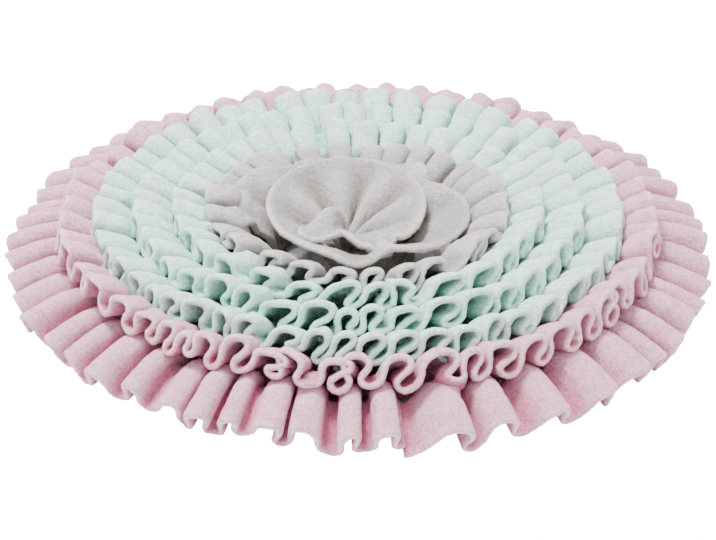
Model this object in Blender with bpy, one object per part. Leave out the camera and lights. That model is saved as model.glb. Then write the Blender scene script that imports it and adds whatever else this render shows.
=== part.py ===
"""Round snuffle mat: pleated fleece ruffles sewn in rings on a base cloth, round a rosette.

Everything is in metres with +Z up, and the origin is the middle of the base cloth's underside.
A ruffle is one strip of fleece. Its foot is sewn to the base cloth in a ring, it leans
outwards, and its free edge runs up and down in folds: a crest, a wall, a trough, a wall.
"""

import math
from collections import namedtuple

import bpy
import numpy as np

MM = 0.001
SEED = 38

FLEECE = 3.4 * MM            # thickness of every ruffle
BASE_RADIUS = 158 * MM
BASE_THICKNESS = 3.0 * MM
BASE_SIDES = 72
SEWING_GAP = 0.3 * MM        # between two solids that are sewn together
SEAM_GAP = 1.6 * MM          # between the two ends of one strip
FOOT_SHARE = 0.34            # folds at the sewn foot, as a share of the folds at the free edge
BROW_SHARE = 0.70            # the same, halfway up a strip that arches over
UNEVEN_WIDTH = 0.20          # how much one fold's width differs from its neighbour's
UNEVEN_HEIGHT = 0.14
STEEP_WALL = 8.5 * MM        # a wall that advances further than this slopes instead
LEAST_RUN = 0.06             # slope of the steepest wall, as a share of its advance
SHARPEST_CORNER = 1.5        # longest corner of the folded strip, in half thicknesses

# The outline swells towards the front right: extra radius, for a ring at the rim.
OUTLINE = (
    # azimuth in degrees, extra radius
    (0, 1 * MM),
    (50, -2 * MM),
    (95, 0 * MM),
    (150, -4 * MM),
    (195, 1 * MM),
    (242, -3 * MM),
    (270, 1 * MM),
    (300, 7 * MM),
    (328, 4 * MM),
    (360, 1 * MM),
)
RIM_RADIUS = 190 * MM

# Towards the back the free edges lie lower: share of each ruffle's own sinking.
SINKING = (
    # azimuth in degrees, share
    (0, 0.1),
    (45, 0.6),
    (90, 1.0),
    (140, 0.6),
    (180, 0.1),
    (225, 0.0),
    (315, 0.0),
    (360, 0.1),
)

# One row for each ruffle, from the rim inwards. The edge and the foot are the middle of the
# strip at its free edge and at its stitching, loop is the folds' height from trough to crest,
# pitch is a usual fold's width, and seam is the azimuth where the strip's two ends meet.
# placed lists stretches of folds with widths of their own: (azimuth of the first trough,
# widths in degrees). brow is a point that an arching strip passes over, halfway up. sink is
# how far the free edge is drawn in and how far it drops at the back.
Ruffle = namedtuple(
    "Ruffle",
    "name cloth edge_radius edge_height foot_radius loop pitch seam shift brow sink placed",
)
RUFFLES = (
    Ruffle(
        "rose_outer_ruffle", "rose", 188.5 * MM, 9.2 * MM, 153 * MM, 12.5 * MM, 20.0 * MM,
        277.5, 0, (171 * MM, 19.5 * MM), (0, 0),
        (
            (277.5, (9.5, 8.2, 8.3, 8.5, 8.0, 5.7, 5.3)),
            (575.8, (5.4, 7.8, 5.6, 7.3, 4.9, 5.2, 6.1, 7.7, 5.2, 6.0)),
        ),
    ),
    Ruffle(
        "rose_inner_ruffle", "rose", 162.5 * MM, 34 * MM, 136 * MM, 11.5 * MM, 18.5 * MM,
        98, 0, None, (2.5 * MM, 6 * MM),
        (
            (216.4, (7.4, 5.8, 4.5, 4.4, 4.4, 5.5, 6.5, 6.4, 5.6, 5.0, 5.2)),
            (278.1, (8.4, 4.6, 5.2, 6.9, 6.6, 6.2, 5.4, 5.2)),
        ),
    ),
    Ruffle(
        "mint_outer_ruffle", "mint", 143.5 * MM, 36 * MM, 116 * MM, 11.5 * MM, 19.5 * MM,
        64, 0, None, (2 * MM, 4.5 * MM),
        (
            (200.3, (6.2, 6.8, 5.2, 5.6, 5.0, 8.6, 5.2, 5.3, 8.4)),
            (256.6, (5.9, 5.1, 6.0, 6.3, 7.6, 5.9, 5.4, 6.4, 8.0)),
        ),
    ),
    Ruffle(
        "mint_middle_ruffle", "mint", 122 * MM, 38.5 * MM, 94.5 * MM, 11 * MM, 17.0 * MM,
        37, 0, None, (2.5 * MM, 5.5 * MM),
        ((236.0, (6.6, 10.4, 9.2, 6.4, 6.2, 7.2, 9.6, 10.8, 7.4)),),
    ),
    Ruffle(
        "mint_inner_ruffle", "mint", 100.5 * MM, 40 * MM, 73.5 * MM, 10 * MM, 18.0 * MM,
        30, 0.5 * MM, None, (3 * MM, 6 * MM),
        ((232.0, (11.5, 11.0, 13.5, 9.0, 9.5, 12.5, 12.0)),),
    ),
    Ruffle(
        "grey_ruffle", "grey", 83 * MM, 40.5 * MM, 58 * MM, 8.5 * MM, 19.0 * MM,
        120, 0, None, (6 * MM, 8 * MM),
        ((225.0, (14.0, 15.5, 14.0, 10.5, 9.5, 17.0, 15.0)),),
    ),
)

# The rosette is one strip wound twice round from its inner end, drawn in to a pit.
ROSETTE_SHIFT = -6.0 * MM    # the rosette sits a little left of the mat's middle
ROSETTE_STEP = 15            # degrees from one section of the rosette to the next
ROSETTE_ROWS = 4
ROSETTE_BULGE = 3.0 * MM     # how far the strip bellies out between foot and edge
ROSETTE = (
    # azimuth, edge radius, edge height, foot radius, foot height
    (223, 12 * MM, 43.0 * MM, 3.2 * MM, 14.0 * MM),
    (240, 36 * MM, 34.5 * MM, 3.2 * MM, 13.5 * MM),
    (268, 31 * MM, 41.5 * MM, 3.2 * MM, 13.0 * MM),
    (290, 44 * MM, 36.0 * MM, 3.2 * MM, 12.5 * MM),
    (309, 48 * MM, 40.0 * MM, 3.2 * MM, 12.0 * MM),
    (347, 43 * MM, 42.0 * MM, 3.2 * MM, 12.0 * MM),
    (409, 42 * MM, 43.0 * MM, 3.2 * MM, 12.0 * MM),
    (454, 43 * MM, 43.5 * MM, 3.6 * MM, 12.0 * MM),
    (491, 42 * MM, 42.5 * MM, 4.6 * MM, 11.0 * MM),
    (556, 43 * MM, 41.0 * MM, 8.0 * MM, 9.0 * MM),
    (591, 48 * MM, 39.5 * MM, 12.0 * MM, 7.0 * MM),
    (619, 52 * MM, 38.0 * MM, 18.0 * MM, 5.5 * MM),
    (640, 57 * MM, 34.5 * MM, 23.0 * MM, 5.5 * MM),
    (659, 56 * MM, 39.5 * MM, 27.0 * MM, 5.5 * MM),
    (672, 62 * MM, 36.5 * MM, 30.0 * MM, 5.5 * MM),
    (691, 64 * MM, 37.0 * MM, 33.0 * MM, 5.5 * MM),
    (710, 66 * MM, 38.0 * MM, 35.0 * MM, 5.5 * MM),
    (724, 63 * MM, 40.0 * MM, 36.0 * MM, 5.5 * MM),
    (745, 56 * MM, 42.0 * MM, 37.0 * MM, 5.5 * MM),
    (777, 52 * MM, 41.0 * MM, 37.0 * MM, 5.5 * MM),
    (811, 51 * MM, 39.5 * MM, 36.5 * MM, 5.5 * MM),
    (842, 54 * MM, 40.5 * MM, 37.0 * MM, 5.5 * MM),
    (862, 60 * MM, 41.0 * MM, 38.0 * MM, 5.5 * MM),
    (887, 61.5 * MM, 39.0 * MM, 38.0 * MM, 5.5 * MM),
    (905, 62 * MM, 36.5 * MM, 38.0 * MM, 5.5 * MM),
    (925, 60 * MM, 36.0 * MM, 38.0 * MM, 5.5 * MM),
)

CLOTHS = {
    # cloth: base colour, roughness
    "rose": ((0.70, 0.47, 0.54), 0.95),
    "mint": ((0.70, 0.82, 0.78), 0.95),
    "grey": ((0.64, 0.61, 0.60), 0.95),
}
BASE_COLOUR = ((0.80, 0.78, 0.78), 0.95)


def clear_scene():
    for thing in list(bpy.data.objects):
        bpy.data.objects.remove(thing, do_unlink=True)


def cloth_material(name, colour, roughness):
    material = bpy.data.materials.new(name)
    material.use_nodes = True
    shader = material.node_tree.nodes["Principled BSDF"]
    shader.inputs["Base Color"].default_value = (*colour, 1.0)
    shader.inputs["Roughness"].default_value = roughness
    shader.inputs["Metallic"].default_value = 0.0
    return material


def outline_swell(angles, radius):
    """Extra radius at these angles (degrees), for a ring of this radius."""
    azimuth, extra = np.array(OUTLINE).T
    return np.interp(np.mod(angles, 360), azimuth, extra) * radius / RIM_RADIUS


def fill_evenly(marks, end, pitch, chance):
    """Adds troughs from the last mark up to end, about one pitch apart."""
    gap = end - marks[-1]
    count = round(gap / pitch)
    if count < 1:
        marks[-1] = end
        return
    widths = 1 + UNEVEN_WIDTH * chance.uniform(-1, 1, count)
    marks.extend(marks[-1] + np.cumsum(widths) / widths.sum() * gap)


def trough_angles(ruffle, chance):
    """Angles in degrees of the troughs, from one end of the strip round to the other."""
    marks = [ruffle.seam]
    pitch = math.degrees(ruffle.pitch / ruffle.edge_radius)
    for start, widths in ruffle.placed:
        if start > marks[-1]:
            fill_evenly(marks, start, pitch, chance)
        for width in widths:
            marks.append(marks[-1] + width)
    gap = math.degrees(SEAM_GAP / ruffle.foot_radius)
    fill_evenly(marks, ruffle.seam + 360 - gap, pitch, chance)
    return np.array(marks)


def wall_corners(start, advance, radius):
    """Angles of the two corners of a wall that takes this advance from this start."""
    steep = math.degrees(STEEP_WALL / radius)
    run = max(LEAST_RUN * advance, advance - steep)
    return start + (advance - run) / 2, start + (advance + run) / 2


def folded_line(ruffle, chance):
    """Corners of the folded free edge: angles in degrees, and heights off the strip's middle."""
    troughs = trough_angles(ruffle, chance)
    count = len(troughs) - 1
    crest = ruffle.loop / 2 * (1 + UNEVEN_HEIGHT * chance.uniform(-1, 1, count))
    depth = ruffle.loop / 2 * (1 + UNEVEN_HEIGHT * chance.uniform(-1, 1, count + 1))
    angles, heights = [troughs[0]], [-depth[0]]
    for i in range(count):
        half = (troughs[i + 1] - troughs[i]) / 2
        for start, sides in ((troughs[i], (-depth[i], crest[i])),
                             (troughs[i] + half, (crest[i], -depth[i + 1]))):
            angles += wall_corners(start, half, ruffle.edge_radius)
            heights += sides
    angles.append(troughs[-1])
    heights.append(-depth[-1])
    return np.array(angles), np.array(heights)


def thickened(along, height, thickness):
    """Both faces of a strip that follows this line: two lists of points, upper and lower."""
    line = np.column_stack([along, height])
    run = np.diff(line, axis=0)
    run /= np.linalg.norm(run, axis=1)[:, None]
    side = np.column_stack([-run[:, 1], run[:, 0]])
    before = np.vstack([side[:1], side])
    after = np.vstack([side, side[-1:]])
    corner = before + after
    length = np.linalg.norm(corner, axis=1)
    stretch = np.minimum(2 / np.maximum(length, 1e-6), SHARPEST_CORNER)
    offset = corner / np.maximum(length, 1e-6)[:, None] * (stretch * thickness / 2)[:, None]
    return line + offset, line - offset


def strip_rows(ruffle):
    """Rows across the strip, foot first: radius, height, share of the folds, face direction."""
    foot_height = BASE_THICKNESS + SEWING_GAP
    foot = (ruffle.foot_radius, foot_height, FOOT_SHARE)
    edge = (ruffle.edge_radius, ruffle.edge_height, 1.0)
    middle = [(*ruffle.brow, BROW_SHARE)] if ruffle.brow else []
    rows = [foot, *middle, edge]
    faces = [(-1.0, 0.0)]
    for i in range(1, len(rows)):
        before, after = rows[i - 1], rows[min(i + 1, len(rows) - 1)]
        run, rise = after[0] - before[0], after[1] - before[1]
        length = math.hypot(run, rise)
        faces.append((-rise / length, run / length))
    return [(*row, face) for row, face in zip(rows, faces)]


def sheet_object(name, upper, lower, material):
    """One closed thin solid from two grids of points: columns along the strip, rows across."""
    columns, rows = upper.shape[:2]
    points = np.concatenate([upper.reshape(-1, 3), lower.reshape(-1, 3)])
    under = columns * rows

    def at(column, row, side=0):
        return side * under + column * rows + row

    faces = []
    for c in range(columns - 1):
        for r in range(rows - 1):
            faces.append((at(c, r), at(c, r + 1), at(c + 1, r + 1), at(c + 1, r)))
            faces.append((at(c, r, 1), at(c + 1, r, 1), at(c + 1, r + 1, 1), at(c, r + 1, 1)))
        for r, flip in ((0, False), (rows - 1, True)):
            ring = [at(c, r), at(c + 1, r), at(c + 1, r, 1), at(c, r, 1)]
            faces.append(tuple(reversed(ring)) if flip else tuple(ring))
    for c, flip in ((0, True), (columns - 1, False)):
        for r in range(rows - 1):
            ring = [at(c, r), at(c, r + 1), at(c, r + 1, 1), at(c, r, 1)]
            faces.append(tuple(reversed(ring)) if flip else tuple(ring))
    mesh = bpy.data.meshes.new(name)
    mesh.from_pydata(points.tolist(), [], faces)
    if signed_volume(points, faces) < 0:
        mesh.flip_normals()
    mesh.materials.append(material)
    thing = bpy.data.objects.new(name, mesh)
    bpy.context.scene.collection.objects.link(thing)
    return thing


def signed_volume(points, faces):
    total = 0.0
    for a, b, c, d in faces:
        for i, j, k in ((a, b, c), (a, c, d)):
            total += np.dot(points[i], np.cross(points[j], points[k]))
    return total


def make_ruffle(ruffle, chance, material):
    angles, heights = folded_line(ruffle, chance)
    swell = outline_swell(angles, ruffle.edge_radius)
    sinking = np.interp(np.mod(angles, 360), *np.array(SINKING).T)
    inward, drop = ruffle.sink
    faces = ([], [])
    rows = strip_rows(ruffle)
    for number, (radius, height, share, (out, up)) in enumerate(rows):
        sunk = sinking * number / (len(rows) - 1)
        along = np.radians(angles) * radius
        for side, line in zip(faces, thickened(along, heights * share, FLEECE)):
            turn = line[:, 0] / radius
            reach = radius + swell - sunk * inward + out * line[:, 1]
            side.append(np.column_stack([
                reach * np.cos(turn) + ruffle.shift,
                reach * np.sin(turn),
                height - sunk * drop + up * line[:, 1],
            ]))
    upper, lower = (np.stack(side, axis=1) for side in faces)
    return sheet_object(ruffle.name, upper, lower, material)


def smooth_column(angle, table_angle, values):
    """A smooth curve through one column of a table, read at these angles."""
    slope = np.gradient(values, table_angle)
    i = np.clip(np.searchsorted(table_angle, angle) - 1, 0, len(values) - 2)
    span = table_angle[i + 1] - table_angle[i]
    u = (angle - table_angle[i]) / span
    ease = u * u * (3 - 2 * u)
    start_pull = u * (1 - u) ** 2
    end_pull = -u * u * (1 - u)
    return (values[i] + (values[i + 1] - values[i]) * ease
            + span * (slope[i] * start_pull + slope[i + 1] * end_pull))


def make_rosette(material):
    table = np.array(ROSETTE)
    angle = np.arange(table[0, 0], table[-1, 0] + 1, ROSETTE_STEP, dtype=float)
    edge_r, edge_z, foot_r, foot_z = (
        smooth_column(angle, table[:, 0], column) for column in table[:, 1:].T
    )
    share = np.linspace(0, 1, ROSETTE_ROWS)[None, :]
    run, rise = (edge_r - foot_r)[:, None], (edge_z - foot_z)[:, None]
    length = np.hypot(run, rise)
    belly = 4 * share * (1 - share) * ROSETTE_BULGE
    radius = foot_r[:, None] + run * share + belly * rise / length
    height = foot_z[:, None] + rise * share - belly * run / length
    turn = np.radians(angle)[:, None]
    middle = np.stack([
        radius * np.cos(turn) + ROSETTE_SHIFT, radius * np.sin(turn), height,
    ], axis=2)
    along = np.gradient(middle, axis=0)
    across = np.gradient(middle, axis=1)
    normal = np.cross(along, across)
    normal /= np.linalg.norm(normal, axis=2)[:, :, None]
    offset = normal * FLEECE / 2
    return sheet_object("grey_rosette", middle + offset, middle - offset, material)


def make_base_cloth(material):
    bpy.ops.mesh.primitive_cylinder_add(
        vertices=BASE_SIDES, radius=BASE_RADIUS, depth=BASE_THICKNESS,
        location=(0, 0, BASE_THICKNESS / 2),
    )
    disc = bpy.context.object
    disc.name = disc.data.name = "base_cloth"
    disc.data.materials.append(material)
    return disc


def main():
    clear_scene()
    cloths = {name: cloth_material(name + "_fleece", *look) for name, look in CLOTHS.items()}
    make_base_cloth(cloth_material("base_fleece", *BASE_COLOUR))
    for number, ruffle in enumerate(RUFFLES):
        make_ruffle(ruffle, np.random.default_rng(SEED + number), cloths[ruffle.cloth])
    make_rosette(cloths["grey"])


main()
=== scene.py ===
# %% [markdown]
# # A round snuffle mat of pleated fleece
#
# A snuffle mat is a base cloth with strips of thick fleece sewn to it in rings. Each strip is
# pleated as it is sewn, so that its free edge runs up and down in soft loops, and treats drop
# into the pockets between them. This one has two dusty pink rings, three mint rings and a
# pleated grey ring round a grey rosette, which is one strip wound twice round a pit.

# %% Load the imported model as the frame
import math
from collections import namedtuple

import bpy
import numpy as np
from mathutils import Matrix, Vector


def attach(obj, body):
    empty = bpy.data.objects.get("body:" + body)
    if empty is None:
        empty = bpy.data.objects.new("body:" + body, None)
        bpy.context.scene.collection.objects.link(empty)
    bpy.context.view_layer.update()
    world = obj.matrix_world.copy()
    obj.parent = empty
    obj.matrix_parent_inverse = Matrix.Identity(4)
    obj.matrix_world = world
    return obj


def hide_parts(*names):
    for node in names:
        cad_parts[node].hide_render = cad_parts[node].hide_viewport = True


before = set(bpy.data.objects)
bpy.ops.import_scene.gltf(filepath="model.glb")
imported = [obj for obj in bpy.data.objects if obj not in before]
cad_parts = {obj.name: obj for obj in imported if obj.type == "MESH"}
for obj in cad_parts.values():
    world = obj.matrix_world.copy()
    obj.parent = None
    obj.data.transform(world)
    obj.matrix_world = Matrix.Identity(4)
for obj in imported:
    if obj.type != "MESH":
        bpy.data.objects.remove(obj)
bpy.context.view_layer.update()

MM = 0.001

# %% [markdown]
# ## The camera
#
# A long lens from 1.6 m away, about thirty degrees above the floor, as for a catalogue view.
# It is made first, because every later choice is judged through it.

# %% Camera
CAMERA_ELEVATION = 30.5
CAMERA_DISTANCE = 1.6
CAMERA_LENS = 145.2
CAMERA_SLIDE = (0.55 * MM, -2.16 * MM)     # to the right and up, in the view's plane


def make_camera():
    tilt = math.radians(CAMERA_ELEVATION)
    back = Vector((0, -math.cos(tilt), math.sin(tilt)))
    right = Vector((1, 0, 0))
    up = back.cross(right)
    data = bpy.data.cameras.new("camera")
    data.lens = CAMERA_LENS
    data.sensor_width = 36
    camera = bpy.data.objects.new("camera", data)
    bpy.context.scene.collection.objects.link(camera)
    camera.location = back * CAMERA_DISTANCE + right * CAMERA_SLIDE[0] + up * CAMERA_SLIDE[1]
    camera.rotation_mode = "QUATERNION"
    camera.rotation_quaternion = (-back).to_track_quat("-Z", "Y")
    bpy.context.scene.camera = camera
    return camera


camera = make_camera()
print("camera at", [round(v, 3) for v in camera.location])

# %% [markdown]
# ## Where the folds lie
#
# The same tables as the CAD model's, so that each fold starts from its solid's place. The cloth
# then flops and bends, so it leaves the solid by some millimetres, and its loops stand up to
# about 6 mm higher. A strip is described by its free edge, its sewn foot, and how high and how
# wide its loops are.

# %% Fold tables
SEED = 38
FLEECE = 3.5 * MM
BASE_TOP = 3.3 * MM
RIM_RADIUS = 190 * MM
SEAM_GAP = 1.6 * MM
UNEVEN_WIDTH = 0.20
UNEVEN_HEIGHT = 0.14

OUTLINE = (
    # azimuth in degrees, extra radius at the rim
    (0, 1 * MM), (50, -2 * MM), (95, 0 * MM), (150, -4 * MM), (195, 1 * MM),
    (242, -3 * MM), (270, 1 * MM), (300, 7 * MM), (328, 4 * MM), (360, 1 * MM),
)

Ruffle = namedtuple(
    "Ruffle",
    "name cloth edge_radius edge_height foot_radius loop pitch seam shift brow placed",
)
RUFFLES = (
    Ruffle(
        "rose_outer_ruffle", "rose", 188.5 * MM, 9.2 * MM, 153 * MM, 12.5 * MM, 20.0 * MM,
        277.5, 0, (171 * MM, 19.5 * MM),
        (
            (277.5, (9.5, 8.2, 8.3, 8.5, 8.0, 5.7, 5.3)),
            (575.8, (5.4, 7.8, 5.6, 7.3, 4.9, 5.2, 6.1, 7.7, 5.2, 6.0)),
        ),
    ),
    Ruffle(
        "rose_inner_ruffle", "rose", 162.5 * MM, 34 * MM, 136 * MM, 11.5 * MM, 18.5 * MM,
        98, 0, None,
        (
            (216.4, (7.4, 5.8, 4.5, 4.4, 4.4, 5.5, 6.5, 6.4, 5.6, 5.0, 5.2)),
            (278.1, (8.4, 4.6, 5.2, 6.9, 6.6, 6.2, 5.4, 5.2)),
        ),
    ),
    Ruffle(
        "mint_outer_ruffle", "mint", 143.5 * MM, 36 * MM, 116 * MM, 11.5 * MM, 19.5 * MM,
        64, 0, None,
        (
            (200.3, (6.2, 6.8, 5.2, 5.6, 5.0, 8.6, 5.2, 5.3, 8.4)),
            (256.6, (5.9, 5.1, 6.0, 6.3, 7.6, 5.9, 5.4, 6.4, 8.0)),
        ),
    ),
    Ruffle(
        "mint_middle_ruffle", "mint", 122 * MM, 38.5 * MM, 94.5 * MM, 11 * MM, 17.0 * MM,
        37, 0, None,
        ((236.0, (6.6, 10.4, 9.2, 6.4, 6.2, 7.2, 9.6, 10.8, 7.4)),),
    ),
    Ruffle(
        "mint_inner_ruffle", "mint", 100.5 * MM, 40 * MM, 73.5 * MM, 10 * MM, 18.0 * MM,
        30, 0.5 * MM, None,
        ((232.0, (11.5, 11.0, 13.5, 9.0, 9.5, 12.5, 12.0)),),
    ),
    Ruffle(
        "grey_ruffle", "grey", 83 * MM, 40.5 * MM, 58 * MM, 8.5 * MM, 19.0 * MM,
        120, 0, None,
        ((225.0, (14.0, 15.5, 14.0, 10.5, 9.5, 17.0, 15.0)),),
    ),
)


def outline_swell(angles, radius):
    azimuth, extra = np.array(OUTLINE).T
    fine = np.linspace(0, 360, 721)
    rough = np.interp(fine, azimuth, extra)
    wide = np.concatenate([rough[:-1], rough[:-1], rough[:-1]])
    soft = np.convolve(wide, np.ones(41) / 41, mode="same")[720:1441]
    return np.interp(np.mod(angles, 360), fine, soft) * radius / RIM_RADIUS


def fill_evenly(marks, end, pitch, chance):
    gap = end - marks[-1]
    count = round(gap / pitch)
    if count < 1:
        marks[-1] = end
        return
    widths = 1 + UNEVEN_WIDTH * chance.uniform(-1, 1, count)
    marks.extend(marks[-1] + np.cumsum(widths) / widths.sum() * gap)


def trough_angles(ruffle, chance):
    marks = [ruffle.seam]
    pitch = math.degrees(ruffle.pitch / ruffle.edge_radius)
    for start, widths in ruffle.placed:
        if start > marks[-1]:
            fill_evenly(marks, start, pitch, chance)
        for width in widths:
            marks.append(marks[-1] + width)
    gap = math.degrees(SEAM_GAP / ruffle.foot_radius)
    fill_evenly(marks, ruffle.seam + 360 - gap, pitch, chance)
    return np.array(marks)


def fold_layout(ruffle, chance):
    """Trough angles in degrees, crest heights and trough depths, fold by fold."""
    troughs = trough_angles(ruffle, chance)
    count = len(troughs) - 1
    crest = ruffle.loop / 2 * (1 + UNEVEN_HEIGHT * chance.uniform(-1, 1, count))
    depth = ruffle.loop / 2 * (1 + UNEVEN_HEIGHT * chance.uniform(-1, 1, count + 1))
    return troughs, crest, depth


layouts = {
    ruffle.name: fold_layout(ruffle, np.random.default_rng(SEED + number))
    for number, ruffle in enumerate(RUFFLES)
}
for name, (troughs, crest, depth) in layouts.items():
    print(name, len(crest), "folds")

# %% [markdown]
# ## One wall of a fold
#
# Thick fleece bends smoothly. Along one wall, from trough to crest, the cloth's direction swings
# from level to steep and back to level. Where the folds are crowded it swings past upright, and
# the loop bulges like the letter omega. The swing that fits a wall's advance and rise is found
# by halving, for all walls at once.

# %% Smooth walls
WALL_STEPS = 12


def wall_swing(largest, power, share):
    return largest[:, None] * np.sin(np.pi * share[None, :] ** power[:, None])


def wall_shapes(advance, rise, power):
    """Points along each wall: advance and rise from its trough, as arrays walls x steps."""
    fine = np.linspace(0, 1, 97)
    low, high = np.full(len(advance), 0.05), np.full(len(advance), 2.75)
    for _ in range(30):
        middle = (low + high) / 2
        swing = wall_swing(middle, power, fine)
        ratio = np.cos(swing).mean(axis=1) / np.sin(swing).mean(axis=1)
        flat = ratio > advance / rise
        low, high = np.where(flat, middle, low), np.where(flat, high, middle)
    swing = wall_swing((low + high) / 2, power, fine)
    run = np.cumsum((np.cos(swing[:, 1:]) + np.cos(swing[:, :-1])) / 2, axis=1)
    lift = np.cumsum((np.sin(swing[:, 1:]) + np.sin(swing[:, :-1])) / 2, axis=1)
    zero = np.zeros((len(advance), 1))
    run, lift = np.hstack([zero, run]), np.hstack([zero, lift])
    scale = rise / lift[:, -1]
    run, lift = run * scale[:, None], lift * scale[:, None]
    run += (advance - run[:, -1])[:, None] * fine[None, :]
    pick = np.round(np.linspace(0, 96, WALL_STEPS + 1)).astype(int)
    return run[:, pick], lift[:, pick]


def meander(troughs, crest, depth, lean, power, bulge):
    """The folded edge's line: advance along the ring and height off the strip's middle."""
    count = len(crest)
    # a bulging loop is wider than its neck
    swell = bulge[:, None] * np.sin(2 * np.pi * np.linspace(0, 1, WALL_STEPS + 1))[None, :]
    half = np.diff(troughs) / 2
    up_run, up_lift = wall_shapes(half * (1 + lean), depth[:-1] + crest, power)
    down_run, down_lift = wall_shapes(half * (1 - lean), depth[1:] + crest, power)
    up_run, down_run = up_run + swell, down_run + swell
    along, height = [], []
    for i in range(count):
        along.append(troughs[i] + up_run[i, :-1])
        height.append(-depth[i] + up_lift[i, :-1])
        along.append(troughs[i + 1] - down_run[i, ::-1][:-1])
        height.append(-depth[i + 1] + down_lift[i, ::-1][:-1])
    along.append(troughs[-1:])
    height.append(-depth[-1:])
    return np.concatenate(along), np.concatenate(height)


# %% [markdown]
# ## From a line to a strip
#
# Across the strip, the foot stands straight up from the base cloth and the cloth then leans
# outwards. The outer pink ring arches right over and droops to the floor. The folds are shallow
# at the stitching and full at the free edge, and slow waves make no two stretches alike.

# %% Strip surface
ACROSS = 14
FOOT_SHARE = 0.34


def smooth_waves(where, chance, longest, count):
    """A soft random wave of about unit height, read at these lengths."""
    total = np.zeros_like(where)
    for k in range(count):
        wavelength = longest / (1 + k * 0.8) * chance.uniform(0.8, 1.25)
        phase = chance.uniform(0, 2 * np.pi)
        total += np.sin(2 * np.pi * where / wavelength + phase) / (1 + 0.5 * k)
    return total / 1.6


def round_table(table, azimuth):
    """Columns of a table whose first column is an azimuth, read smoothly all the way round."""
    data = np.array(table, float)
    turns = np.concatenate([data[:, 0] - 360, data[:, 0], data[:, 0] + 360])
    where = np.mod(azimuth, 360)
    read = []
    for column in data[:, 1:].T:
        three = np.concatenate([column, column, column])
        i = np.clip(np.searchsorted(turns, where, side="right") - 1, 0, len(turns) - 2)
        u = (where - turns[i]) / (turns[i + 1] - turns[i])
        u = u * u * (3 - 2 * u)
        read.append(three[i] * (1 - u) + three[i + 1] * u)
    return read


# How a standing strip flops outwards, by azimuth: its last stretch's slope in degrees, how far
# its folds lean towards the next one, how much of the back's sinking it takes, and the size
# of the folds against the table's.
FLOP = (
    # azimuth, slope, lean, sink, size of the folds
    (0, 13, 0.75, 0.1, 1.10),
    (45, 17, 0.55, 0.6, 1.05),
    (90, 22, 0.20, 1.0, 1.10),
    (140, 16, -0.15, 0.6, 1.10),
    (180, 11, -0.45, 0.1, 1.15),
    (212, 16, -0.30, 0.0, 1.15),
    (238, 24, 0.60, 0.0, 1.25),
    (262, 31, 0.85, 0.0, 1.32),
    (285, 31, 0.90, 0.0, 1.32),
    (315, 22, 0.95, 0.0, 1.18),
)
BACK_SINK = {
    # ruffle: change of edge radius and edge height at the back
    "rose_outer_ruffle": (-1.0 * MM, -0.5 * MM),
    "rose_inner_ruffle": (-5.0 * MM, -9.0 * MM),
    "mint_outer_ruffle": (-2.0 * MM, -4.5 * MM),
    "mint_middle_ruffle": (-2.5 * MM, -5.5 * MM),
    "mint_inner_ruffle": (-3.0 * MM, -6.0 * MM),
    "grey_ruffle": (-7.0 * MM, -9.0 * MM),
}
RIM_SLOPE = -25
RIM_PULL = 21 * MM          # how far the rim's foot and edge hold their direction
STANDING_PULL = 17 * MM     # how far a standing strip's edge holds its slope
STANDING_RISE = 0.62        # how far up a standing strip stays upright, as a share
INNER_SLOPE = 0.75      # the inner ruffles flop further over than the pink one
FRONT_LOOPS = {
    # ruffle: how strongly its folds follow the sizes above
    "rose_outer_ruffle": 0.4,
    "rose_inner_ruffle": 1.0,
    "mint_outer_ruffle": 1.2,
    "mint_middle_ruffle": 1.3,
    "mint_inner_ruffle": 1.4,
    "grey_ruffle": 1.4,
}


def strip_profile(ruffle, share, azimuth):
    """Radius and height across the strip, and the direction across it, for each column."""
    slope, _, sink, _ = round_table(FLOP, azimuth)
    if ruffle.brow:
        slope = np.full_like(slope, RIM_SLOPE)
    elif ruffle.cloth != "rose":
        slope = slope * INNER_SLOPE
    slope = np.radians(slope)
    in_radius, in_height = BACK_SINK[ruffle.name]
    edge_r = ruffle.edge_radius + in_radius * sink
    edge_z = ruffle.edge_height + in_height * sink
    foot_r = np.full_like(edge_r, ruffle.foot_radius)
    foot_z = np.full_like(edge_r, BASE_TOP + FLEECE * 0.5)
    rise = np.full_like(edge_r, RIM_PULL) if ruffle.brow else STANDING_RISE * (edge_z - foot_z)
    pull = RIM_PULL if ruffle.brow else STANDING_PULL
    first = np.stack([foot_r - 1 * MM, foot_z + rise], axis=1)
    last = np.stack([edge_r - pull * np.cos(slope), edge_z - pull * np.sin(slope)], axis=1)
    foot = np.stack([foot_r, foot_z], axis=1)
    edge = np.stack([edge_r, edge_z], axis=1)
    a, b, c, d = (p[:, None, :] for p in (foot, first, last, edge))
    u = share[None, :, None]
    place = a * (1 - u) ** 3 + 3 * b * u * (1 - u) ** 2 + 3 * c * u * u * (1 - u) + d * u ** 3
    heading = (b - a) * (1 - u) ** 2 + 2 * (c - b) * u * (1 - u) + (d - c) * u * u
    return place, heading / np.linalg.norm(heading, axis=2)[:, :, None]


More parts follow.
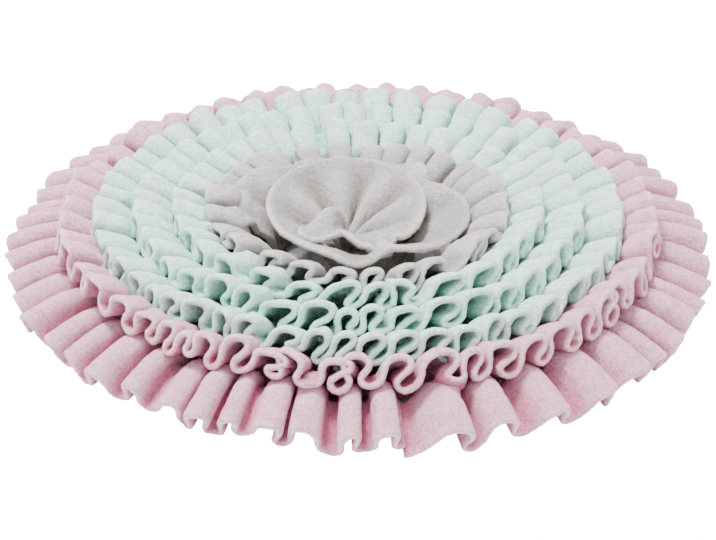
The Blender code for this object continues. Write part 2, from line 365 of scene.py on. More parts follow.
def strip_surface(ruffle, number):
    """The strip's middle surface as a grid: columns along the strip, rows across it."""
    troughs, crest, depth = layouts[ruffle.name]
    chance = np.random.default_rng(500 + number)
    middles = (troughs[1:] + troughs[:-1]) / 2
    _, lean, _, size = round_table(FLOP, middles)
    size = 1 + FRONT_LOOPS[ruffle.name] * (size - 1)
    lean = np.clip(lean + chance.normal(0, 0.3, len(crest)), -0.8, 1.35)
    if ruffle.brow:
        lean *= 0.6
    power = chance.uniform(0.66, 0.9, len(crest))
    crest = crest * size * chance.uniform(0.8, 1.2, len(crest))
    depth = depth * np.append(size, size[0]) * chance.uniform(0.8, 1.2, len(depth))
    if ruffle.brow:
        power = chance.uniform(0.8, 1.1, len(crest))
        crest = crest * 1.12
    marks = np.radians(troughs) * ruffle.edge_radius
    neck = np.diff(marks) / 2 - FLEECE
    bulge = np.clip(neck * chance.uniform(0.15, 0.5, len(crest)), 0, 1.7 * MM)
    if ruffle.brow:
        bulge *= 0.25
    along, height = meander(marks, crest, depth, lean, power, bulge)
    angle = along / ruffle.edge_radius
    azimuth = np.degrees(angle)
    share = 1 - (1 - np.linspace(0, 1, ACROSS)) ** 1.25
    place, heading = strip_profile(ruffle, share, azimuth)
    swell = outline_swell(azimuth, ruffle.edge_radius)
    least, growth = (0.5, 0.9) if ruffle.brow else (FOOT_SHARE, 1.3)
    deep = least + (1 - least) * share ** growth
    length = (1.8 if ruffle.brow else 1.4) * MM * smooth_waves(along, chance, 60 * MM, 4)
    lift = 1.3 * MM * smooth_waves(along, chance, 90 * MM, 4)
    if ruffle.brow:
        # at the seam one end of the strip hangs and the other curls up
        length += 3.5 * MM * np.exp((along[0] - along) / (7 * MM))
        lift = np.maximum(lift, -0.6 * MM) + 3 * MM * np.exp((along - along[-1]) / (8 * MM))
    rows = []
    for j, u in enumerate(share):
        radius, level = place[:, j].T
        out, up = heading[:, j].T
        reach = height * deep[j]
        ring = radius + swell - up * reach + u * u * length * out - u * lift * up
        high = level + out * reach + u * u * length * up + u * lift * out
        rows.append(np.column_stack([
            ring * np.cos(angle) + ruffle.shift, ring * np.sin(angle), high,
        ]))
    return np.stack(rows, axis=1)


surfaces = {r.name: strip_surface(r, n) for n, r in enumerate(RUFFLES)}
for name, grid in surfaces.items():
    print(name, grid.shape, "edge length", round(float(
        np.linalg.norm(np.diff(grid[:, -1], axis=0), axis=1).sum()), 3), "m")

# %% [markdown]
# ## The rosette
#
# One grey strip, wound twice round a pit and sewn down there: a small peaked petal at its inner
# end, a smooth bowl, and a second turn that hugs the bowl and then lies out in broad petals.
# The bowl's cloth is drawn in at the pit, so creases run up from it and fade towards the rim.

# %% Rosette surface
ROSETTE_SHIFT = -6.0 * MM
ROSETTE = (
    # azimuth, edge radius, edge height, foot radius, foot height
    (214, 30 * MM, 33.0 * MM, 3.2 * MM, 20.0 * MM),
    (226, 36 * MM, 34.0 * MM, 3.2 * MM, 19.0 * MM),
    (240, 38 * MM, 35.0 * MM, 3.2 * MM, 18.0 * MM),
    (254, 35 * MM, 37.5 * MM, 3.2 * MM, 17.0 * MM),
    (268, 34 * MM, 40.5 * MM, 3.2 * MM, 15.0 * MM),
    (288, 45 * MM, 36.0 * MM, 3.2 * MM, 13.5 * MM),
    (309, 48 * MM, 39.5 * MM, 3.2 * MM, 12.0 * MM),
    (347, 43 * MM, 42.0 * MM, 3.2 * MM, 12.0 * MM),
    (409, 42 * MM, 43.0 * MM, 3.2 * MM, 12.0 * MM),
    (454, 43 * MM, 43.5 * MM, 3.6 * MM, 12.0 * MM),
    (491, 42 * MM, 42.5 * MM, 4.6 * MM, 11.0 * MM),
    (556, 43 * MM, 41.0 * MM, 8.0 * MM, 9.0 * MM),
    (591, 48 * MM, 39.5 * MM, 12.0 * MM, 7.0 * MM),
    (619, 52 * MM, 38.0 * MM, 18.0 * MM, 6.0 * MM),
    (640, 57 * MM, 34.0 * MM, 23.0 * MM, 6.0 * MM),
    (659, 55 * MM, 39.5 * MM, 27.0 * MM, 6.0 * MM),
    (672, 62 * MM, 36.0 * MM, 30.0 * MM, 6.0 * MM),
    (691, 65 * MM, 36.5 * MM, 33.0 * MM, 6.0 * MM),
    (710, 67 * MM, 38.0 * MM, 35.0 * MM, 6.0 * MM),
    (724, 63 * MM, 41.0 * MM, 36.0 * MM, 6.0 * MM),
    (735, 54 * MM, 43.0 * MM, 36.5 * MM, 6.0 * MM),
    (744, 49 * MM, 41.0 * MM, 37.0 * MM, 6.0 * MM),
    (756, 53 * MM, 43.5 * MM, 37.2 * MM, 6.0 * MM),
    (777, 50 * MM, 40.5 * MM, 37.5 * MM, 6.0 * MM),
    (795, 51 * MM, 39.0 * MM, 37.8 * MM, 6.0 * MM),
    (811, 49 * MM, 37.5 * MM, 37.8 * MM, 6.0 * MM),
    (830, 52 * MM, 39.0 * MM, 38.0 * MM, 6.0 * MM),
    (847, 53 * MM, 38.0 * MM, 38.0 * MM, 6.0 * MM),
    (862, 60 * MM, 40.5 * MM, 38.0 * MM, 6.0 * MM),
    (877, 63 * MM, 39.5 * MM, 38.0 * MM, 6.0 * MM),
    (893, 68 * MM, 40.0 * MM, 38.0 * MM, 6.0 * MM),
    (904, 68 * MM, 36.0 * MM, 38.0 * MM, 6.0 * MM),
    (915, 62 * MM, 33.0 * MM, 38.0 * MM, 6.0 * MM),
)
ROSETTE_CREASES = (
    # azimuth in the first turn, depth, width in degrees
    (300, -1.6 * MM, 14),
    (343, 4.0 * MM, 12),
    (366, -2.4 * MM, 10),
    (388, 6.5 * MM, 11),
    (411, -3.2 * MM, 10),
    (434, 6.8 * MM, 11),
    (460, -3.0 * MM, 11),
    (486, 5.2 * MM, 12),
    (514, -2.2 * MM, 13),
    (545, 4.2 * MM, 13),
    (585, -1.0 * MM, 14),
    (682, 2.2 * MM, 6),
    (704, -2.0 * MM, 6),
    (722, 3.0 * MM, 6),
    (768, 2.0 * MM, 8),
    (806, 2.0 * MM, 7),
    (850, 3.4 * MM, 6),
    (868, -2.0 * MM, 6),
    (884, 4.0 * MM, 6),
)


def smooth_column(angle, table_angle, values):
    slope = np.gradient(values, table_angle)
    i = np.clip(np.searchsorted(table_angle, angle) - 1, 0, len(values) - 2)
    span = table_angle[i + 1] - table_angle[i]
    u = (angle - table_angle[i]) / span
    ease = u * u * (3 - 2 * u)
    start_pull = u * (1 - u) ** 2
    end_pull = -u * u * (1 - u)
    return (values[i] + (values[i + 1] - values[i]) * ease
            + span * (slope[i] * start_pull + slope[i + 1] * end_pull))


def rosette_surface():
    table = np.array(ROSETTE)
    angle = np.linspace(table[0, 0], table[-1, 0], 440)
    edge_r, edge_z, foot_r, foot_z = (
        smooth_column(angle, table[:, 0], column) for column in table[:, 1:].T
    )
    share = np.linspace(0, 1, 24)
    second = np.clip((angle - 585) / 70, 0, 1)
    second = second * second * (3 - 2 * second)
    slope = np.radians(34 * (1 - second) + 14 * second)
    width = np.hypot(edge_r - foot_r, edge_z - foot_z)
    pull = width * (0.36 * (1 - second) + 0.42 * second)
    first_r = foot_r + (0.16 * width) * (1 - second) + 3 * MM * second
    first_z = foot_z + 0.30 * width * (1 - second) + (edge_z - foot_z) * 0.80 * second
    last_r, last_z = edge_r - pull * np.cos(slope), edge_z - pull * np.sin(slope)
    u = share[None, :]
    radius, height = (
        a[:, None] * (1 - u) ** 3 + 3 * b[:, None] * u * (1 - u) ** 2
        + 3 * c[:, None] * u * u * (1 - u) + d[:, None] * u ** 3
        for a, b, c, d in ((foot_r, first_r, last_r, edge_r), (foot_z, first_z, last_z, edge_z))
    )
    # near its inner end the cloth stands up in a soft peak and falls over to its edge
    peak = np.exp(-((angle - 231) / 21) ** 2)[:, None]
    height += 15 * MM * peak * np.sin(np.pi * u ** 0.62) ** 1.4
    # creases that run up from the pit
    crease = np.zeros_like(angle)
    for azimuth, depth, wide in ROSETTE_CREASES:
        crease += depth * np.exp(-((angle - azimuth) / wide) ** 2)
    height -= crease[:, None] * np.sin(np.pi * u ** 0.8)
    chance = np.random.default_rng(77)
    wave = smooth_waves(angle, chance, 75, 4)
    petals = np.clip((angle - 620) / 40, 0, 1)
    height += (0.4 + 1.1 * petals)[:, None] * MM * wave[:, None] * u ** 2
    turn = np.radians(angle)[:, None]
    return np.stack([
        radius * np.cos(turn) + ROSETTE_SHIFT, radius * np.sin(turn), height,
    ], axis=2)


surfaces["grey_rosette"] = rosette_surface()
print("rosette", surfaces["grey_rosette"].shape)

# %% [markdown]
# ## Letting the cloth settle
#
# On a real mat thick strips can't pass through each other. Wherever two stretches of cloth lie
# closer than one thickness, both are moved apart, and the moves are spread smoothly over the
# cloth around them. This lessens the crossing and doesn't clear it: neighbouring strips still
# cut into each other in places, and the last round prints how many pairs still touch.

# %% Settle the strips against each other
TOUCH = 3.4 * MM
ROUNDS = 26
SKIP = 2                # every second column is tested, and the moves are read between them
OWN_COLUMNS = 5         # neighbours along the same strip don't count as touching
FOOT_ROWS = 3           # nor do rows this near the stitching
LIST_EVERY = 3          # rounds between two searches for near pairs
SEARCH_MARGIN = 1.15    # the search reaches a little past touching
SIDE_REACH = 2.4 * MM   # points further aside than this slide past each other
STEP_GAIN = 1.5         # makes up for what the spreading takes off a move
BASE_REACH = 160 * MM   # inside this the cloth rests on the base cloth, outside it on the floor
FLOOR_ON_BASE = 5.3 * MM
FLOOR_OUTSIDE = 2.1 * MM


def near_pairs(points, reach):
    """Index pairs of points less than reach apart along each axis, found by sorting cells."""
    cells = np.floor(points / reach).astype(np.int64)
    cells -= cells.min(axis=0) - 1
    stride = np.array([1, 4096, 4096 * 4096])
    key = cells @ stride
    order = np.argsort(key, kind="stable")
    ranked = key[order]
    first, second = [], []
    for dx in (-1, 0, 1):
        for dy in (-1, 0, 1):
            for dz in (-1, 0, 1):
                step = dx * stride[0] + dy * stride[1] + dz * stride[2]
                if step < 0:
                    continue
                low = np.searchsorted(ranked, key + step, "left")
                high = np.searchsorted(ranked, key + step, "right")
                count = high - low
                one = np.repeat(np.arange(len(points)), count)
                offset = np.arange(count.sum()) - np.repeat(np.cumsum(count) - count, count)
                two = order[np.repeat(low, count) + offset]
                keep = one < two if step == 0 else np.ones(len(one), bool)
                first.append(one[keep])
                second.append(two[keep])
    return np.concatenate(first), np.concatenate(second)


def spread(moves, times):
    for _ in range(times):
        padded = np.concatenate([moves[:1], moves, moves[-1:]])
        moves = 0.25 * padded[:-2] + 0.5 * padded[1:-1] + 0.25 * padded[2:]
        padded = np.concatenate([moves[:, :1], moves, moves[:, -1:]], axis=1)
        moves = 0.25 * padded[:, :-2] + 0.5 * padded[:, 1:-1] + 0.25 * padded[:, 2:]
    return moves


def settle(surfaces):
    names = list(surfaces)
    coarse = {n: surfaces[n][::SKIP].copy() for n in names}
    shapes = [coarse[n].shape[:2] for n in names]
    owner = np.concatenate([np.full(a * b, k) for k, (a, b) in enumerate(shapes)])
    column = np.concatenate([np.repeat(np.arange(a), b) for a, b in shapes])
    row = np.concatenate([np.tile(np.arange(b), a) for a, b in shapes])
    moved = {n: np.zeros_like(coarse[n]) for n in names}
    starts = np.cumsum([0] + [a * b for a, b in shapes])
    for turn in range(ROUNDS):
        grids = [coarse[n] + moved[n] for n in names]
        points = np.concatenate([g.reshape(-1, 3) for g in grids])
        normals = np.concatenate([grid_normals(g).reshape(-1, 3) for g in grids])
        if turn % LIST_EVERY == 0:
            a, b = near_pairs(points, TOUCH * SEARCH_MARGIN)
            own = (owner[a] == owner[b]) & (np.abs(column[a] - column[b]) < OWN_COLUMNS)
            own |= (row[a] < FOOT_ROWS) & (row[b] < FOOT_ROWS)
            a, b = a[~own], b[~own]
        gap = points[a] - points[b]
        facing = normals[b] - normals[a] * np.sign((normals[a] * normals[b]).sum(1))[:, None] * -1
        facing = unit(facing)
        off = (gap * facing).sum(axis=1)
        aside = np.linalg.norm(gap - off[:, None] * facing, axis=1)
        lack = TOUCH - np.abs(off)
        hit = (lack > 0) & (aside < SIDE_REACH)
        push = np.where(hit, lack, 0)[:, None] * facing * np.sign(off)[:, None] * 0.5
        total = np.zeros_like(points)
        weight = np.zeros(len(points))
        for index, sign in ((a, 1.0), (b, -1.0)):
            for k in range(3):
                total[:, k] += np.bincount(index, sign * push[:, k], len(points))
            weight += np.bincount(index, hit.astype(float), len(points))
        total /= np.maximum(weight, 1)[:, None]
        on_base = np.hypot(points[:, 0], points[:, 1]) < BASE_REACH
        floor = np.where(on_base, FLOOR_ON_BASE, FLOOR_OUTSIDE)
        total[:, 2] += np.maximum(floor - points[:, 2] - total[:, 2], 0)
        for k, n in enumerate(names):
            part = total[starts[k]:starts[k + 1]].reshape(*shapes[k], 3)
            moved[n] = moved[n] + STEP_GAIN * spread(part, 2)
        if turn in (0, ROUNDS - 1):
            print("round", turn, "touching pairs", int(hit.sum()),
                  "deepest", round(float(lack[hit].max()) / MM, 2) if hit.any() else 0, "mm")
    for n in names:
        whole = surfaces[n]
        at = np.arange(len(whole)) / SKIP
        low = np.minimum(at.astype(int), len(moved[n]) - 1)
        high = np.minimum(low + 1, len(moved[n]) - 1)
        part = (at - low)[:, None, None]
        surfaces[n] = whole + moved[n][low] * (1 - part) + moved[n][high] * part


def grid_normals(grid):
    along = np.gradient(grid, axis=0)
    across = np.gradient(grid, axis=1)
    return unit(np.cross(along, across))


def unit(vectors):
    return vectors / np.maximum(np.linalg.norm(vectors, axis=-1), 1e-12)[..., None]


settle(surfaces)

# %% [markdown]
# ## From a surface to thick cloth
#
# The middle surface gets its thickness on both sides, and every cut edge is rounded, because
# fleece has no hard edge. The section is one closed loop that runs up one face, round the free
# edge, down the other face and under the foot, and it is swept along the strip.

# %% Thick cloth
EDGE_STEPS = 5
END_STEPS = 3
# painted shade: how deep in its fold the cloth's colour is darkened
FOLD_SHADE_DEPTH = 8 * MM
FOLD_SHADE_REACH = 24       # columns to each side that a fold's depth is compared with
FOLD_SHADE_START = 0.35     # depth given to cloth at the mean level
FLUFF = 0.09            # unevenness of the thickness, as a share
EDGE_FADE = 1.7 * MM    # how fast the cut edge's paler colour fades
CAP_BULGE = 0.85        # how round the cut edge is, where 1 is a half circle
THINNEST_END = 0.12     # thickness of a strip's last column, as a share


def painted_fold_shade(grid):
    """How deep each point lies in its fold, from 0 on a crest to 1 in a trough, as painted shade."""
    level = grid[:, :, 2]
    reach = FOLD_SHADE_REACH
    padded = np.pad(level, ((reach, reach), (0, 0)), mode="edge")
    total = np.cumsum(np.vstack([np.zeros((1, level.shape[1])), padded]), axis=0)
    mean = (total[2 * reach:] - total[:-2 * reach])[:len(level)] / (2 * reach)
    return np.clip(FOLD_SHADE_START + (mean - level) / FOLD_SHADE_DEPTH, 0, 1)


def cloth_object(name, grid, thickness, material):
    """A closed thick cloth round this grid of points (columns along, rows across)."""
    half = thickness / 2
    normal = grid_normals(grid)
    turns = np.linspace(0, np.pi, EDGE_STEPS + 2)[1:-1]
    # the two ends of the strip taper over a few rounded columns
    start = unit(grid[0] - grid[1])
    finish = unit(grid[-1] - grid[-2])
    bends = np.linspace(0, np.pi / 2, END_STEPS + 1)[1:]
    head = [grid[0] + start * half * math.sin(b) for b in bends[::-1]]
    tail = [grid[-1] + finish * half * math.sin(b) for b in bends]
    thin = [max(math.cos(b), THINNEST_END) for b in bends]
    middle = np.concatenate([np.stack(head), grid, np.stack(tail)])
    normal = np.concatenate([
        np.repeat(normal[:1], END_STEPS, axis=0), normal, np.repeat(normal[-1:], END_STEPS, axis=0),
    ])
    fat = np.concatenate([thin[::-1], np.ones(len(grid)), thin]) * half
    chance = np.random.default_rng(len(grid))
    fluff = 1 + FLUFF * chance.normal(0, 1, middle.shape[:2])
    fat = fat[:, None, None] * fluff[:, :, None]
    free = unit(middle[:, -1] - middle[:, -2])[:, None]
    foot = unit(middle[:, 0] - middle[:, 1])[:, None]
    top = middle + normal * fat
    under = middle - normal * fat

    def cap(row, outward, order):
        wave = turns[None, :, None] if order else turns[None, ::-1, None]
        stout = fat[:, row][:, None]
        return (middle[:, row][:, None] + normal[:, row][:, None] * stout * np.cos(wave)
                + outward * stout * np.sin(wave) * CAP_BULGE)

    section = np.concatenate([top, cap(-1, free, True), under[:, ::-1], cap(0, foot, False)], axis=1)
    columns, around = section.shape[:2]
    rows = grid.shape[1]
    along = np.concatenate([[0], np.cumsum(np.linalg.norm(
        np.diff(middle[:, -1], axis=0), axis=1))])
    step = np.linalg.norm(np.diff(section, axis=1), axis=2).mean(axis=0)
    across = np.concatenate([[0], np.cumsum(step)])
    edge = np.exp(-np.abs(across - across[rows + EDGE_STEPS // 2]) / EDGE_FADE)
    points = section.reshape(-1, 3)
    first = np.arange(columns - 1)[:, None] * around
    ring = np.arange(around)[None, :]
    after = (ring + 1) % around
    quads = np.stack([first + ring, first + after, first + around + after,
                      first + around + ring], axis=2).reshape(-1, 4)
    ends = []
    for column, flip in ((0, True), (columns - 1, False)):
        base = column * around
        matching = 2 * rows + EDGE_STEPS - 1
        for j in range(rows - 1):
            ring_quad = [base + j, base + j + 1, base + matching - j - 1, base + matching - j]
            ends.append(ring_quad[::-1] if flip else ring_quad)
    polygons = [tuple(q) for q in ends]
    free_caps = []
    for column, flip in ((0, True), (columns - 1, False)):
        base = column * around
        outer = [base + rows - 1 + k for k in range(EDGE_STEPS + 2)]
        inner = [base + (2 * rows + EDGE_STEPS - 1 + k) % around for k in range(EDGE_STEPS + 2)]
        for fan in (outer, inner):
            free_caps.append(tuple(fan[::-1] if flip else fan))
    faces = [tuple(int(v) for v in q) for q in quads[:, ::-1]]
    faces += [tuple(int(v) for v in reversed(q)) for q in polygons + free_caps]
    mesh = bpy.data.meshes.new(name)
    mesh.from_pydata(points.tolist(), [], faces)
    uv = mesh.uv_layers.new(name="cloth")
    corner = np.empty(len(mesh.loops), np.int32)
    mesh.loops.foreach_get("vertex_index", corner)
    chart = np.column_stack([np.repeat(along, around), np.tile(across, columns)])
    uv.data.foreach_set("uv", chart[corner].astype(np.float32).ravel())
    # painted shade: each point's depth in its fold, stored for the material to darken the colour there
    painted_shade_share = np.concatenate([painted_fold_shade(middle), np.zeros((columns, EDGE_STEPS)),
                           painted_fold_shade(middle)[:, ::-1], np.zeros((columns, EDGE_STEPS))], axis=1)
    painted_shade_share[:, rows:rows + EDGE_STEPS] = painted_shade_share[:, rows - 1:rows]
    painted_shade_share[:, 2 * rows + EDGE_STEPS:] = painted_shade_share[:, :1]
    for label, values in (("cut_edge", np.tile(edge, columns)), ("painted_shade", painted_shade_share.ravel())):
        attribute = mesh.attributes.new(label, "FLOAT", "POINT")
        attribute.data.foreach_set("value", values.astype(np.float32))
    mesh.shade_smooth()
    mesh.materials.append(material)
    thing = bpy.data.objects.new(name, mesh)
    bpy.context.scene.collection.objects.link(thing)
    return thing


# %% [markdown]
# ## Fleece
#
# Brushed fleece is matt, with a soft nap that catches light at a glancing angle, so it gets a
# constant sheen. The nap lies in faint patches a few millimetres across and its fibres make a
# fine grain. The cut edge is coloured a little paler.

# %% Fleece material
DEEPEST_PAINTED_SHADE = 0.85   # painted shade: added to the gamma at the bottom of a fold, which darkens the colour there
PLAIN_GAMMA = 0.86      # gamma on a crest


def group_socket(tree, name, way, kind, value=None):
    socket = tree.interface.new_socket(name=name, in_out=way, socket_type=kind)
    if value is not None:
        socket.default_value = value
    return socket


def link(tree, source, target):
    tree.links.new(source, target)


def math_node(tree, operation, a, b):
    node = tree.nodes.new("ShaderNodeMath")
    node.operation = operation
    for socket, value in zip(node.inputs, (a, b)):
        if isinstance(value, (int, float)):
            socket.default_value = value
        else:
            link(tree, value, socket)
    return node.outputs[0]


def noise_node(tree, vector, scale, detail, rough=0.55):
    node = tree.nodes.new("ShaderNodeTexNoise")
    node.inputs["Scale"].default_value = scale
    node.inputs["Detail"].default_value = detail
    node.inputs["Roughness"].default_value = rough
    link(tree, vector, node.inputs["Vector"])
    return node.outputs["Fac"]


def make_nap_group():
    tree = bpy.data.node_groups.new("brushed_nap", "ShaderNodeTree")
    group_socket(tree, "Base", "INPUT", "NodeSocketColor", (0.8, 0.8, 0.8, 1))
    group_socket(tree, "Edge Colour", "INPUT", "NodeSocketColor", (0.9, 0.9, 0.9, 1))
    group_socket(tree, "Cut Edge", "INPUT", "NodeSocketFloat", 0.0)
    group_socket(tree, "Painted Shade", "INPUT", "NodeSocketFloat", 0.0)
    group_socket(tree, "Colour", "OUTPUT", "NodeSocketColor")
    group_socket(tree, "Roughness", "OUTPUT", "NodeSocketFloat")
    group_socket(tree, "Height", "OUTPUT", "NodeSocketFloat")
    given = tree.nodes.new("NodeGroupInput")
    result = tree.nodes.new("NodeGroupOutput")
    chart = tree.nodes.new("ShaderNodeTexCoord")
    patches = noise_node(tree, chart.outputs["Object"], 170, 2, 0.6)
    tufts = noise_node(tree, chart.outputs["Object"], 620, 3, 0.65)
    fibres = noise_node(tree, chart.outputs["Object"], 2400, 2, 0.7)
    shade = math_node(tree, "ADD", math_node(tree, "MULTIPLY", patches, 0.5),
                      math_node(tree, "MULTIPLY", tufts, 1.3))
    shade = math_node(tree, "ADD", shade, fibres)
    bright = math_node(tree, "ADD", shade, -0.4)
    tint = tree.nodes.new("ShaderNodeMix")
    tint.data_type = "RGBA"
    link(tree, given.outputs["Base"], tint.inputs["A"])
    link(tree, given.outputs["Edge Colour"], tint.inputs["B"])
    link(tree, given.outputs["Cut Edge"], tint.inputs["Factor"])
    grade = tree.nodes.new("ShaderNodeMix")
    grade.data_type = "RGBA"
    grade.blend_type = "MULTIPLY"
    grade.inputs["Factor"].default_value = 1.0
    # painted shade: the deeper a point lies in its fold, the higher the gamma, so the colour is darker
    # and more saturated
    shade_gamma = tree.nodes.new("ShaderNodeGamma")
    shade_amount = math_node(tree, "MULTIPLY", given.outputs["Painted Shade"],
                       math_node(tree, "SUBTRACT", 1.0, given.outputs["Cut Edge"]))
    link(tree, tint.outputs["Result"], shade_gamma.inputs["Color"])
    link(tree, math_node(tree, "ADD", math_node(tree, "MULTIPLY", shade_amount, DEEPEST_PAINTED_SHADE), PLAIN_GAMMA),
         shade_gamma.inputs["Gamma"])
    link(tree, shade_gamma.outputs["Color"], grade.inputs["A"])
    link(tree, bright, grade.inputs["B"])
    link(tree, grade.outputs["Result"], result.inputs["Colour"])
    rough = math_node(tree, "ADD", math_node(tree, "MULTIPLY", tufts, 0.2), 0.82)
    link(tree, rough, result.inputs["Roughness"])
    height = math_node(tree, "ADD", math_node(tree, "MULTIPLY", tufts, 0.6),
                       math_node(tree, "MULTIPLY", fibres, 0.4))
    link(tree, height, result.inputs["Height"])
    return tree


nap_group = make_nap_group()


def fleece_material(name, base, edge, sheen):
    material = bpy.data.materials.new(name)
    material.use_nodes = True
    tree = material.node_tree
    shader = tree.nodes["Principled BSDF"]
    shader.inputs["Metallic"].default_value = 0.0
    shader.inputs["Specular IOR Level"].default_value = 0.15
    shader.inputs["Sheen Weight"].default_value = sheen
    shader.inputs["Sheen Roughness"].default_value = 0.6
    shader.inputs["Sheen Tint"].default_value = (1.0, 1.0, 1.0, 1.0)
    nap = tree.nodes.new("ShaderNodeGroup")
    nap.node_tree = nap_group
    nap.inputs["Base"].default_value = (*base, 1)
    nap.inputs["Edge Colour"].default_value = (*edge, 1)
    cut = tree.nodes.new("ShaderNodeAttribute")
    cut.attribute_name = "cut_edge"
    link(tree, cut.outputs["Fac"], nap.inputs["Cut Edge"])
    # painted shade in the folds, read from the mesh
    painted_shade = tree.nodes.new("ShaderNodeAttribute")
    painted_shade.attribute_name = "painted_shade"
    link(tree, painted_shade.outputs["Fac"], nap.inputs["Painted Shade"])
    bump = tree.nodes.new("ShaderNodeBump")
    bump.inputs["Strength"].default_value = 1.0
    bump.inputs["Distance"].default_value = 0.0018
    link(tree, nap.outputs["Height"], bump.inputs["Height"])
    link(tree, nap.outputs["Colour"], shader.inputs["Base Color"])
    link(tree, nap.outputs["Roughness"], shader.inputs["Roughness"])
    link(tree, bump.outputs["Normal"], shader.inputs["Normal"])
    return material


FLEECES = {
    # cloth: colour, colour of the cut edge, sheen
    "rose": ((0.69, 0.325, 0.435), (0.92, 0.60, 0.69), 0.15),
    "mint": ((0.53, 0.79, 0.715), (0.68, 0.98, 0.90), 0.15),
    "grey": ((0.42, 0.395, 0.38), (0.66, 0.635, 0.615), 0.12),
}
fleeces = {name: fleece_material(name + "_fleece", *look) for name, look in FLEECES.items()}

# %% [markdown]
# ## The ruffles
#
# Each ring is one strip of fleece, so each becomes one piece that stands for its own solid in
# the frame. A strip could be cut flat and gathered by a cloth simulation. Here the settled
# surface is thickened directly instead, which keeps each fold where it was placed.

# %% Build the ruffles
for ruffle in RUFFLES:
    grid = surfaces[ruffle.name]
    strip = cloth_object(ruffle.name + "_cloth", grid, FLEECE, fleeces[ruffle.cloth])
    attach(strip, "root")
    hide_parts(ruffle.name)

# %% [markdown]
# ## The rosette
#
# The rosette is one strip wound twice round a pit. Its foot is drawn in, so a rectangle of its
# width and length would overstate the cloth. It is made a little thicker than the ruffles.

# %% Build the rosette
ROSETTE_THICKER = 1.08
grid = surfaces["grey_rosette"]
rosette = cloth_object("grey_rosette_cloth", grid, FLEECE * ROSETTE_THICKER, fleeces["grey"])
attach(rosette, "root")
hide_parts("grey_rosette")

# %% [markdown]
# ## The base cloth
#
# The ruffles are sewn to a round of off-white felt, which shows only from the sides and from
# below. Rows of lockstitch run round it, one under each ruffle's foot, and each stitch sinks a
# little into the felt. The felt is one disc with a rounded rim, and the stitches are short
# capsules of thread laid in its underside and over its top.

# %% Base cloth
BASE_RADIUS = 158 * MM
BASE_THICK = 3.0 * MM
STITCH, STITCH_STEP, THREAD = 2.6 * MM, 3.4 * MM, 0.32 * MM


def disc_mesh(points, faces, radius, thick, around=180):
    """A felt disc: rings of points from the middle of the top round the rim to the underside."""
    radii = np.concatenate([[8 * MM], np.linspace(0.1, 0.985, 24) * radius])
    chance = np.random.default_rng(9)
    turns = np.linspace(0, np.pi, 7)[1:-1]
    profile = [(r, thick) for r in radii]
    profile += [(radius * 0.985 + thick / 2 * math.sin(t) * 0.9,
                 thick / 2 + thick / 2 * math.cos(t)) for t in turns]
    profile += [(r, 0.0) for r in radii[::-1]]
    angle = np.linspace(0, 2 * np.pi, around, endpoint=False)
    start = len(points)
    for r, z in profile:
        lift = 0.12 * MM * chance.uniform(-1, 1, around) if z > thick * 0.9 else 0 * angle
        points += np.column_stack([r * np.cos(angle), r * np.sin(angle), z + lift]).tolist()
    for ring in range(len(profile) - 1):
        for k in range(around):
            after = (k + 1) % around
            a = start + ring * around
            faces.append((a + k, a + around + k, a + around + after, a + after))
    for ring, z, flip in ((0, thick, False), (len(profile) - 1, 0.0, True)):
        middle = len(points)
        points.append([0, 0, z])
        for k in range(around):
            a, b = start + ring * around + k, start + ring * around + (k + 1) % around
            faces.append((middle, b, a) if flip else (middle, a, b))


def stitch_row(points, faces, radius, height):
    """Short capsules of thread in a ring."""
    count = int(2 * np.pi * radius / STITCH_STEP)
    for n in range(count):
        turn = 2 * np.pi * n / count
        out = np.array([math.cos(turn), math.sin(turn), 0])
        run = np.array([-math.sin(turn), math.cos(turn), 0])
        middle = out * radius + np.array([0, 0, height])
        first = len(points)
        for share, fat in ((-0.5, 0.45), (-0.36, 1.0), (0.36, 1.0), (0.5, 0.45)):
            for k in range(6):
                a = k * np.pi / 3
                side = out * math.cos(a) + np.array([0, 0, 1]) * math.sin(a)
                points.append((middle + run * STITCH * share + side * THREAD * fat).tolist())
        for ring in range(3):
            for k in range(6):
                a, b = first + ring * 6 + k, first + ring * 6 + (k + 1) % 6
                faces.append((a, a + 6, b + 6, b))
        faces.append(tuple(first + k for k in range(6)))
        faces.append(tuple(first + 18 + k for k in range(5, -1, -1)))


ROSETTE_STITCHES = 38 * MM
OUTER_STITCHES = 155.6 * MM

points, faces = [], []
disc_mesh(points, faces, BASE_RADIUS, BASE_THICK)
felt_points = len(points)
for ruffle in RUFFLES:
    stitch_row(points, faces, ruffle.foot_radius, 0.25 * MM)
stitch_row(points, faces, ROSETTE_STITCHES, 0.25 * MM)
stitch_row(points, faces, OUTER_STITCHES, BASE_THICK)
mesh = bpy.data.meshes.new("base_cloth_felt")
mesh.from_pydata(points, [], faces)
thread = mesh.attributes.new("cut_edge", "FLOAT", "POINT")
thread.data.foreach_set("value", (np.arange(len(points)) >= felt_points).astype(np.float32))
mesh.shade_smooth()
mesh.materials.append(fleece_material("base_felt", (0.60, 0.58, 0.57), (0.86, 0.84, 0.82), 0.1))
felt = bpy.data.objects.new("base_cloth_felt", mesh)
bpy.context.scene.collection.objects.link(felt)
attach(felt, "root")
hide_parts("base_cloth")
print("base cloth triangles", sum(len(p.vertices) - 2 for p in mesh.polygons))

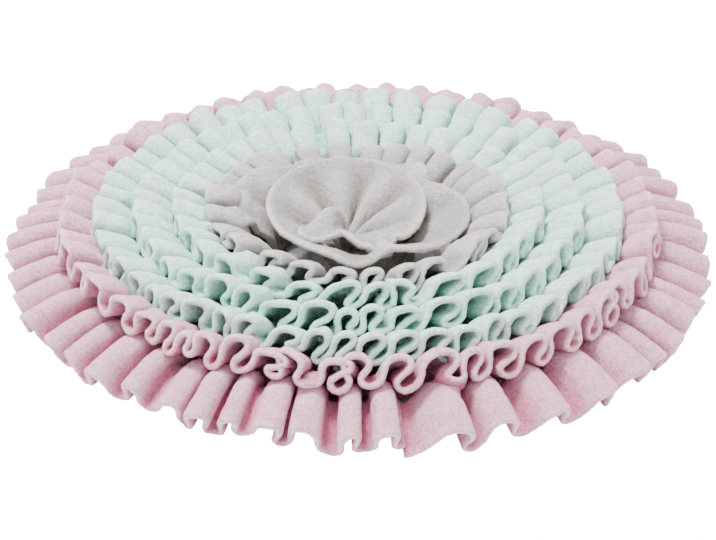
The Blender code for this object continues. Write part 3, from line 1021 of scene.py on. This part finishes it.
# %% [markdown]
# ## Floor and light
#
# The mat lies on a plain white floor under soft, even light. The floor glows only for rays that
# come straight from the camera, so it looks white without lighting the cloth from below. One
# lamp above and behind on the left shades the folds, two weak ones open up the front, and a
# bright surround keeps the shadows soft.

# %% Floor and light
FLOOR_GLOW = 16.0       # only rays that come straight from the camera see it


def make_floor():
    mesh = bpy.data.meshes.new("floor")
    side = 6.0
    mesh.from_pydata([(-side, -side, 0), (side, -side, 0), (side, side, 0), (-side, side, 0)],
                     [], [(0, 1, 2, 3)])
    floor = bpy.data.objects.new("floor", mesh)
    bpy.context.scene.collection.objects.link(floor)
    material = bpy.data.materials.new("pale_floor")
    material.use_nodes = True
    shader = material.node_tree.nodes["Principled BSDF"]
    shader.inputs["Base Color"].default_value = (0.9, 0.9, 0.9, 1)
    shader.inputs["Roughness"].default_value = 0.9
    shader.inputs["Specular IOR Level"].default_value = 0.1
    shader.inputs["Emission Color"].default_value = (1, 1, 1, 1)
    glow = material.node_tree.nodes.new("ShaderNodeLightPath")
    bright = math_node(material.node_tree, "MULTIPLY", glow.outputs["Is Camera Ray"], FLOOR_GLOW)
    link(material.node_tree, bright, shader.inputs["Emission Strength"])
    mesh.materials.append(material)
    return floor


def area_light(name, place, target, size, power):
    data = bpy.data.lights.new(name, "AREA")
    data.energy = power
    data.shape = "DISK"
    data.size = size
    light = bpy.data.objects.new(name, data)
    bpy.context.scene.collection.objects.link(light)
    light.location = place
    light.rotation_mode = "QUATERNION"
    light.rotation_quaternion = (Vector(target) - Vector(place)).to_track_quat("-Z", "Y")
    return light


make_floor()
area_light("key", (-0.45, 0.45, 1.7), (0, 0, 0), 0.6, 100)
area_light("fill", (1.1, -0.9, 1.2), (0, 0, 0), 1.2, 8)
area_light("front", (-0.1, -1.7, 1.1), (0, 0, 0), 1.2, 4)
world = bpy.data.worlds.new("studio")
bpy.context.scene.world = world
world.use_nodes = True
world.node_tree.nodes["Background"].inputs["Color"].default_value = (1, 1, 1, 1)
world.node_tree.nodes["Background"].inputs["Strength"].default_value = 1.32
